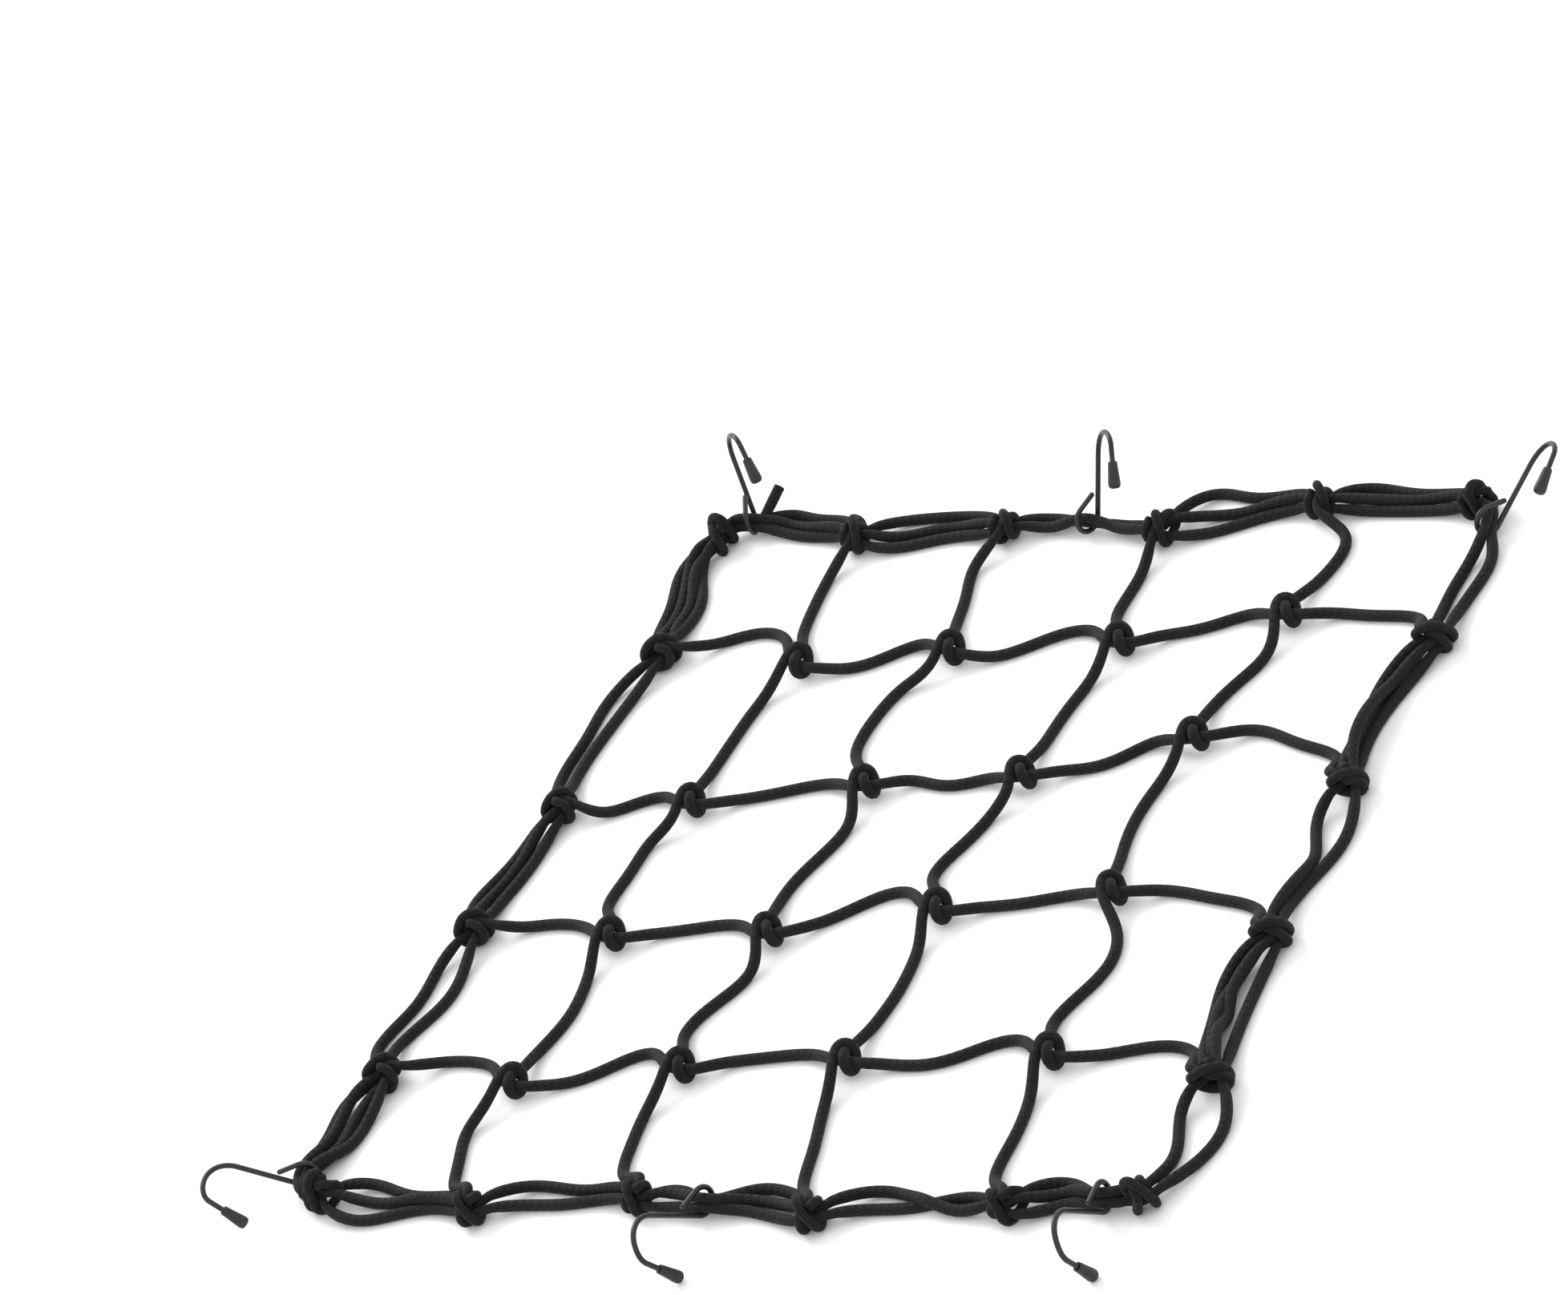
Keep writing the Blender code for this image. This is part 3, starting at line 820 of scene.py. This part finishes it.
def read(board, name):
    """A value that was kept under a name."""
    return board.node(
        "GeometryNodeInputNamedAttribute", {"Name": name}, "Attribute", data_type="FLOAT")


def sweep_tree():
    """Geometry nodes: a path of edges becomes a round body with a map along it."""
    tree = bpy.data.node_groups.new("round_body_on_a_path", "GeometryNodeTree")
    inputs = (
        ("Path", "NodeSocketGeometry"), ("Sides", "NodeSocketInt"),
        ("Step", "NodeSocketFloat"), ("Finish", "NodeSocketMaterial"),
    )
    for name, kind in inputs:
        tree.interface.new_socket(name, in_out="INPUT", socket_type=kind)
    tree.interface.new_socket("Body", in_out="OUTPUT", socket_type="NodeSocketGeometry")
    board = Board(tree)
    given = {name: board.node("NodeGroupInput", out=name) for name, _ in inputs}
    line = board.node("GeometryNodeMeshToCurve", {"Mesh": given["Path"]})
    line = board.node(
        "GeometryNodeCurveSplineType", {"Curve": line}, spline_type="CATMULL_ROM")
    line = board.node(
        "GeometryNodeResampleCurve", {"Curve": line, "Length": given["Step"]}, mode="LENGTH")
    section = board.node("GeometryNodeCurveArc", {
        "Resolution": given["Sides"] + 1, "Radius": 1.0, "Start Angle": 0.0,
        "Sweep Angle": 2 * pi})
    length = board.node("GeometryNodeSplineParameter", out="Length")
    line = kept(board, line, "along", length)
    section = kept(board, section, "around", length.other("Factor"))
    body = board.node("GeometryNodeCurveToMesh", {
        "Curve": line, "Profile Curve": section, "Scale": read(board, "size")})
    where = board.node(
        "ShaderNodeCombineXYZ", {"X": read(board, "around"), "Y": read(board, "along")})
    body = kept(board, body, "sheath", where, data_type="FLOAT2", domain="CORNER")
    body = board.node("GeometryNodeMergeByDistance", {"Geometry": body, "Distance": 1e-6})
    body = board.node("GeometryNodeSetShadeSmooth", {"Geometry": body})
    body = board.node("GeometryNodeRealizeInstances", {"Geometry": body})
    body = board.node(
        "GeometryNodeSetMaterial", {"Geometry": body, "Material": given["Finish"]})
    board.node("NodeGroupOutput", {"Body": body})
    return tree


SWEEP = sweep_tree()
print("the sweep's nodes:", len(SWEEP.nodes))


# %% Lay a set of paths out as edges
def path_mesh(name, paths, sizes):
    """Edges along each path, in metres, with the radius kept on each point."""
    mesh = bpy.data.meshes.new(name)
    spots = np.concatenate(paths) * MM
    edges = []
    at = 0
    for path in paths:
        edges += [(at + i, at + i + 1) for i in range(len(path) - 1)]
        at += len(path)
    mesh.from_pydata(spots.tolist(), edges, [])
    radius = mesh.attributes.new("size", "FLOAT", "POINT")
    radius.data.foreach_set("value", np.concatenate(sizes) * MM)
    return mesh


print("points of the border's paths:", sum(len(cord) for cord in border))


# %% Sweep a body along each of them
def in_scene(name, data):
    """A new object of some data, put in the scene."""
    thing = bpy.data.objects.new(name, data)
    bpy.context.scene.collection.objects.link(thing)
    return thing


def close_ends(mesh):
    """Fill the open ends of the bodies in a mesh."""
    bm = bmesh.new()
    bm.from_mesh(mesh)
    open_edges = [edge for edge in bm.edges if len(edge.link_faces) == 1]
    bmesh.ops.holes_fill(bm, edges=open_edges, sides=0)
    bmesh.ops.recalc_face_normals(bm, faces=bm.faces)
    bm.to_mesh(mesh)
    bm.free()


def sweep(name, paths, sizes, sides, step, finish):
    """Round bodies along paths in millimetres, as one plain mesh with closed ends."""
    thing = in_scene(name, path_mesh(name, paths, sizes))
    tool = thing.modifiers.new("sweep", "NODES")
    tool.node_group = SWEEP
    settings = {"Sides": sides, "Step": step * MM, "Finish": finish}
    for item in SWEEP.interface.items_tree:
        if item.item_type == "SOCKET" and item.name in settings:
            tool[item.identifier] = settings[item.name]
    bpy.context.view_layer.update()
    graph = bpy.context.evaluated_depsgraph_get()
    made = bpy.data.meshes.new_from_object(thing.evaluated_get(graph))
    thing.modifiers.remove(tool)
    thing.data = made
    made.name = name
    close_ends(made)
    triangles = sum(len(face.vertices) - 2 for face in made.polygons)
    print(name, "triangles:", triangles)
    return thing


inputs = [item.name for item in SWEEP.interface.items_tree if item.in_out == "INPUT"]
print("inputs of the sweep:", inputs)

# %% [markdown]
# ## Dress the net
#
# The cord is thinner wherever it is pulled tight, so its radius comes from how near a point
# is to a knot, a hitch or an eye. The cords across, the cords up the net, the border, the
# corner bindings and the cut end are separate pieces, because each runs its own way.

# %% How thick the cord is along its way
EYE_RISE = 8.1          # height of an eye's own place
HELD = 0.86             # share of its size that a cord keeps inside a hook's eye


def eye_place(side, span):
    """Centre of the bundle inside a hook's eye."""
    start, end, outward = side_ends(side, span)
    t, middle = eye_on(side, span)
    point = start + (end - start) * t + sideways(start, end, outward) * middle
    return point + (0, 0, EYE_RISE)


# What pulls the cord thin: the places, the share of its size there, and how far from them it
# starts to swell and is its full size again.
THINNED = (
    ([PLACES[place] for place in tied], PULLED, (7.0, 16.0)),
    ([PLACES[place] for place in hitches], PACKED, (6.0, 15.0)),
    ([eye_place(*hook[:2]) for hook in HOOKS.values()], HELD, (4.0, 12.0)),
)


def thickness(path):
    """Radius of the cord at each point of a path."""
    radius = np.full(len(path), CORD_R)
    for places, share, limits in THINNED:
        free = between(level_distance(path, places), limits)
        radius = np.minimum(radius, CORD_R * (share + (1 - share) * free))
    return radius


print("thinnest cord, mm:", round(2 * min(thickness(cord).min() for cord in border), 2))

# %% Sweep the cords of the net
CORD_SIDES = 16
CORD_STEP = 1.15        # length of one ring of faces

for name, paths in cord_work.items():
    sizes = [thickness(path) for path in paths]
    paths = [path + ORIGIN for path in paths]
    piece = sweep(name, paths, sizes, CORD_SIDES, CORD_STEP, cord_black)
    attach(piece, "root")
    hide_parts("net")

# %% [markdown]
# ## The hooks
#
# Each hook is one length of 2.2 mm wire, coated dark and a little glossy. One end is bent
# into an eye round the border cords, the other into a hook with a moulded cap. The path is
# worked out from its bends, in the hook's own three directions, and swept like the cord.

# %% Sizes and directions of a hook
WIRE_R = 1.1            # half the wire's thickness
EYE_R = 5.5             # radius of the eye
EYE_SIDE = 6.8          # from the eye's own place to the line of the shank
EYE_TURN = 228.0        # degrees of wire round the cords
EYE_GAP = 2.7           # the eye's free end stops this far from the shank
SHANK = 25.8            # straight wire from the eye to the bend
BENDS = ((11.7, 112.0), (5.5, 48.0))    # radius and degrees of each part of the bend
TIP_STRAIGHT = 5.8      # straight wire from the bend to the cap
CAP_DEPTH = 5.0         # wire inside the cap


def hook_axes(heading, rise, turn):
    """Directions of a hook: along its shank, outward below it, and of its bend."""
    level = Vector((cos(radians(heading)), sin(radians(heading)), 0))
    up = Vector((0, 0, 1))
    along = level * cos(radians(rise)) + up * sin(radians(rise))
    below = level * sin(radians(rise)) - up * cos(radians(rise))
    beside = up.cross(level)
    bend = beside * cos(radians(turn)) - below * sin(radians(turn))
    return along, below, bend


print("the tip is turned back by", sum(angle for _, angle in BENDS), "degrees")

# %% Path of a hook's wire
EYE_STEPS = 36
BEND_STEP = 5.0         # degrees between the points of the bend


def eye_points(centre, along, below):
    """The eye of a hook from its free end to the shank."""
    over = radians(EYE_TURN - 180.0)
    free = (EYE_R * (1 + cos(over)) - EYE_GAP) / sin(over)
    leave = along * sin(over) - below * cos(over)
    tangent = along * cos(over) + below * sin(over)
    points = [centre + leave * EYE_R + tangent * free]
    for i in range(EYE_STEPS + 1):
        angle = radians(EYE_TURN * (1 - i / EYE_STEPS))
        points.append(centre + below * (EYE_R * cos(angle)) - along * (EYE_R * sin(angle)))
    return points


def hook_path(centre, heading, rise, turn):
    """Centre line of a hook's wire, the cap's mouth and the direction of its tip."""
    along, below, bend = hook_axes(heading, rise, turn)
    centre = centre + below * (EYE_SIDE - EYE_R)
    points = eye_points(centre, along, below)
    here = centre + below * EYE_R + along * SHANK
    points.append(here)
    done = 0.0
    for radius, angle in BENDS:
        steps = round(angle / BEND_STEP)
        for i in range(1, steps + 1):
            old = radians(done + angle * (i - 1) / steps)
            new = radians(done + angle * i / steps)
            here = here + along * (radius * (sin(new) - sin(old)))
            here = here + bend * (radius * (cos(old) - cos(new)))
            points.append(here)
        done += angle
    tip = along * cos(radians(done)) + bend * sin(radians(done))
    mouth = here + tip * TIP_STRAIGHT
    points.append(mouth + tip * CAP_DEPTH)
    return [np.array(point) for point in points], mouth, tip


print("points of a hook's path:", len(hook_path(Vector(), 0, 0, 0)[0]))


# %% Finishes of the wire and the caps
def hook_finish(name, wear, fine, bump, colours, roughness, plain):
    """A dark finish, worn unevenly, with a fine grain; `plain` is set on the shader itself."""
    finish, board, shader = new_finish(name)
    worn = grain(board, *wear)
    rough = {"Value": worn, "To Min": roughness[0], "To Max": roughness[1]}
    relief = {"Strength": bump[0], "Distance": bump[1], "Height": grain(board, *fine)}
    board.feed(shader, {
        "Base Color": board.ramp(worn, *colours),
        "Roughness": board.node("ShaderNodeMapRange", rough),
        "Normal": board.node("ShaderNodeBump", relief),
        **plain,
    })
    return finish


wire_dark = hook_finish(
    "dark_coated_wire", wear=(160.0, 4.0), fine=(1500.0, 2.0), bump=(0.25, 0.00005),
    colours=((0.3, (0.006, 0.006, 0.0065)), (0.7, (0.018, 0.0175, 0.018))),
    roughness=(0.28, 0.46), plain={"Metallic": 0.1, "Specular IOR Level": 0.4})
cap_black = hook_finish(
    "moulded_black_cap", wear=(220.0, 3.0), fine=(2200.0, 3.0), bump=(0.35, 0.00006),
    colours=((0.3, (0.008, 0.008, 0.0085)), (0.75, (0.021, 0.0205, 0.021))),
    roughness=(0.38, 0.55), plain={"Specular IOR Level": 0.35})
print("finishes:", wire_dark.name, cap_black.name)

# %% Turn a cap on its axis
# Half outline of a cap from its mouth: (along, radius), with a rounded lip and end.
CAP_OUTLINE = (
    (5.2, 1.12), (0.25, 1.12), (0.0, 1.3), (0.0, 1.68), (0.25, 1.86), (1.0, 1.94), (2.5, 2.05),
    (4.5, 2.2), (6.5, 2.38), (8.0, 2.5), (9.0, 2.56), (9.7, 2.48), (10.3, 2.24), (10.7, 1.82),
    (10.93, 1.2), (11.0, 0.6),
)
CAP_SIDES = 40
SEAM = 0.07             # the mould's parting line stands up this much
SEAM_FROM = 1.2         # on every ring of the outline that is wider than this


def make_cap(name, mouth, tip):
    """A moulded cap: its outline turned about the wire, with a thin parting line."""
    bm = bmesh.new()
    across = tip.orthogonal().normalized()
    other = tip.cross(across)
    mouth = mouth + Vector(ORIGIN)
    rings = []
    for place, radius in CAP_OUTLINE:
        ring = []
        for i in range(CAP_SIDES):
            angle = 2 * pi * i / CAP_SIDES
            on_seam = radius > SEAM_FROM and i % (CAP_SIDES // 2) == 0
            size = radius + (SEAM if on_seam else 0.0)
            way = across * cos(angle) + other * sin(angle)
            ring.append(bm.verts.new((mouth + tip * place + way * size) * MM))
        rings.append(ring)
    for first, second in zip(rings, rings[1:]):
        for i in range(CAP_SIDES):
            j = (i + 1) % CAP_SIDES
            bm.faces.new((first[i], first[j], second[j], second[i])).smooth = True
    bm.faces.new(rings[0])
    bm.faces.new(rings[-1][::-1])
    bmesh.ops.recalc_face_normals(bm, faces=bm.faces)
    mesh = bpy.data.meshes.new(name)
    bm.to_mesh(mesh)
    bm.free()
    mesh.materials.append(cap_black)
    return in_scene(name, mesh)


print("a cap's length and greatest radius, mm:", [max(sizes) for sizes in zip(*CAP_OUTLINE)])

# %% Make the six hooks
WIRE_SIDES = 16
WIRE_STEP = 0.7         # length of one ring of faces
CHAMFER = 0.8           # share of its radius that the wire keeps at the eye's free end

for name, (side, span, _, _, *angles) in HOOKS.items():
    points, mouth, tip = hook_path(Vector(eye_place(side, span)), *angles)
    path = spaced(points, WIRE_STEP) + ORIGIN
    sizes = np.full(len(path), WIRE_R)
    sizes[0] *= CHAMFER
    wire = sweep("wire_" + name, [path], [sizes], WIRE_SIDES, WIRE_STEP, wire_dark)
    cap = make_cap("cap_" + name, mouth, tip)
    for piece, slot in ((wire, "wire"), (cap, "cap")):
        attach(piece, "root")
        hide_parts("hook_" + slot + "_" + name)

# %% [markdown]
# ## Floor, light and camera
#
# The net lies on a plain pale floor under a large soft light, so that each cord is a little
# lighter on top and dark along its lower side. The camera looks down on it from far off.

# %% Floor
HALF_FLOOR = 4.0        # metres

finish, board, shader = new_finish("pale_floor")
board.feed(shader, {"Base Color": (0.86, 0.86, 0.86, 1), "Roughness": 0.9})
mesh = bpy.data.meshes.new("floor")
corners = [(-1, -1), (1, -1), (1, 1), (-1, 1)]
mesh.from_pydata([(x * HALF_FLOOR, y * HALF_FLOOR, 0) for x, y in corners], [], [(0, 1, 2, 3)])
mesh.materials.append(finish)
floor = in_scene("floor", mesh)
print("floor:", 2 * HALF_FLOOR, "m wide")


# %% Light
def soft_light(name, place, size, power):
    """A square softbox turned towards the middle of the net."""
    light = bpy.data.lights.new(name, "AREA")
    light.size = size
    light.energy = power
    lamp = in_scene(name, light)
    lamp.location = place
    lamp.rotation_euler = (-Vector(place)).to_track_quat("-Z", "Y").to_euler()


soft_light("key", (-1.9, 1.1, 1.7), 1.4, 48)
soft_light("fill", (1.2, -1.4, 1.8), 2.0, 4)
world = bpy.data.worlds.new("studio")
world.use_nodes = True
board = Board(world.node_tree)
board.feed(world.node_tree.nodes["Background"], {"Color": (1, 1, 1, 1), "Strength": 1.25})
bpy.context.scene.world = world
bpy.context.scene.view_settings.view_transform = "Standard"
print("lights:", [lamp.name for lamp in bpy.data.lights])

# %% Camera
AZIMUTH = -43.26        # degrees round the net
ELEVATION = 34.745      # degrees above the surface
ROLL = -29.975
DISTANCE = 3.1947       # metres from the middle of the grid
FRAME_WIDE = 1956       # pixels across the camera's frame
FOCAL = 10243           # focal length, in widths of one of those pixels
GRID_AT = (154.9, 259.5)    # middle of the grid, right of and below the frame's middle
SENSOR = 36.0           # mm across the camera's sensor
FAR = 100               # metres that the camera sees


def camera_axes():
    """Right, up and forward directions of the camera when it faces the middle of the grid."""
    az = radians(AZIMUTH)
    el = radians(ELEVATION)
    forward = Vector((sin(az) * cos(el), cos(az) * cos(el), -sin(el)))
    level = Vector((cos(az), -sin(az), 0))
    upright = level.cross(forward)
    roll = radians(ROLL)
    right = level * cos(roll) + upright * sin(roll)
    up = upright * cos(roll) - level * sin(roll)
    return right, up, forward


def make_camera():
    """The camera, turned so that the grid's middle falls where it should."""
    right, up, forward = camera_axes()
    place = Vector(ORIGIN) * MM - forward * DISTANCE
    look = (forward - right * (GRID_AT[0] / FOCAL) + up * (GRID_AT[1] / FOCAL)).normalized()
    right = (right - look * right.dot(look)).normalized()
    up = right.cross(look)
    data = bpy.data.cameras.new("camera")
    data.sensor_width = SENSOR
    data.lens = SENSOR * FOCAL / FRAME_WIDE
    data.clip_end = FAR
    camera = in_scene("camera", data)
    turn = Matrix((right, up, -look)).transposed().to_4x4()
    camera.matrix_world = Matrix.Translation(place) @ turn
    bpy.context.scene.camera = camera


make_camera()
print("lens, mm:", round(bpy.context.scene.camera.data.lens, 1))

# %% [markdown]
# ## The end
#
# The dressed net must stay the size of the frame.
